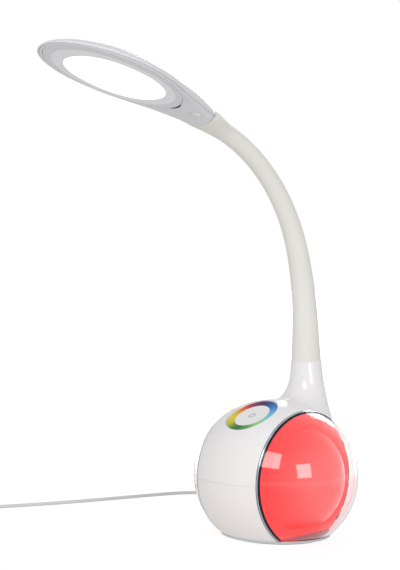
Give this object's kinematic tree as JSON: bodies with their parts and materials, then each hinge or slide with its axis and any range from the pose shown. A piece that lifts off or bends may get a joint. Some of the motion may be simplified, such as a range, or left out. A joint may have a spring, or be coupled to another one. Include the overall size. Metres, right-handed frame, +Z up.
{
  "type": "desk lamp",
  "caption": "Desk lamp with a round body, a lit dome on each side, a touch panel with a ring of colours, a bendable sleeved arm and a flat head with a round lit panel.",
  "frame": {"origin": "on the table under the centre of the round body, in the middle of the rubber foot", "axes": "+Z up, -Y to the lamp's front, where the head reaches and the touch panel leans, +X to the lamp's own left as one sits before it, seen as the viewer's right"},
  "size_m": [0.4168, 0.378, 0.3996],
  "materials": {
    "white_shell": "gloss",
    "dark_plate": "matte",
    "foot_rubber": "matte",
    "steel": "satin",
    "bright_ring": "polished",
    "clear_dome": "clear gloss",
    "glow_dome": "translucent, lit red",
    "reflector": "gloss",
    "colours": "gloss, printed with a full circle of colours",
    "board": "satin",
    "board_part": "satin",
    "lamp": "satin",
    "iron": "rough",
    "support": "matte",
    "sleeve": "matte, warm off-white",
    "cord_grey": "satin",
    "pearl": "satin",
    "clear_guide": "clear",
    "reflecting": "polished",
    "plate_metal": "satin"
  },
  "bodies": {
    "base": {"upper_shell": "white_shell", "lower_shell": "white_shell", "base_plate": "dark_plate", "rubber_foot": "foot_rubber", "base_screws": "steel", "bezel_right": "bright_ring", "bezel_left": "bright_ring", "clear_dome_right": "clear_dome", "clear_dome_left": "clear_dome", "glow_dome_right": "glow_dome", "glow_dome_left": "glow_dome", "reflector_right": "reflector", "reflector_left": "reflector", "lamp_board_right": "board", "lamp_board_left": "board", "colour_lamps": "lamp", "touch_tray": "white_shell", "colour_ring": "colours", "touch_panel": "reflector", "touch_board": "board", "ballast": "iron", "board_posts": "support", "main_board": "board", "board_parts": "board_part", "neck_bush": "support", "neck_nut": "steel", "arm_core_base": "steel", "sleeve_root": "sleeve", "cord_boot": "cord_grey", "cord": "cord_grey", "cord_coil": "cord_grey", "cord_tail": "cord_grey", "plug_grip": "cord_grey", "plug_contact": "steel"},
    "arm_root": {"arm_core_root": "steel", "sleeve_lower": "sleeve"},
    "arm_lower": {"arm_core_lower": "steel", "sleeve_middle": "sleeve"},
    "arm_middle": {"arm_core_middle": "steel", "sleeve_upper": "sleeve"},
    "head": {"arm_core_tip": "steel", "head_cover": "white_shell", "head_housing": "white_shell", "head_bezel": "pearl", "light_panel": "reflector", "light_guide": "clear_guide", "lamp_strip": "board", "mirror_sheet": "reflecting", "back_plate": "plate_metal", "button_switch": "board_part", "head_board": "board", "arm_clamp": "support", "clamp_screws": "steel"},
    "head_button": {"head_button": "pearl"}
  },
  "joints": [
    {"name": "side_bend", "type": "hinge", "parent": "base", "child": "arm_root", "pos_m": [0, 0.03763, 0.16949], "axis": [0, 1, 0], "range_deg": [-25, 25], "deforming": ["sleeve_root"]},
    {"name": "low_bend", "type": "hinge", "parent": "arm_root", "child": "arm_lower", "pos_m": [0, 0.03453, 0.20934], "axis": [1, 0, 0], "range_deg": [-20, 20], "deforming": ["sleeve_lower"]},
    {"name": "middle_bend", "type": "hinge", "parent": "arm_lower", "child": "arm_middle", "pos_m": [0, 0.01007, 0.2828], "axis": [1, 0, 0], "range_deg": [-25, 25], "deforming": ["sleeve_middle"]},
    {"name": "top_bend", "type": "hinge", "parent": "arm_middle", "child": "head", "pos_m": [0, -0.04069, 0.33291], "axis": [1, 0, 0], "range_deg": [-30, 30], "deforming": ["sleeve_upper"]},
    {"name": "button_press", "type": "slide", "parent": "head", "child": "head_button", "axis": [0, 0.3024, 0.9532], "range_m": [0, 0.0006], "stiffness_N_per_m": 1500, "springref_m": -0.0004}
  ]
}
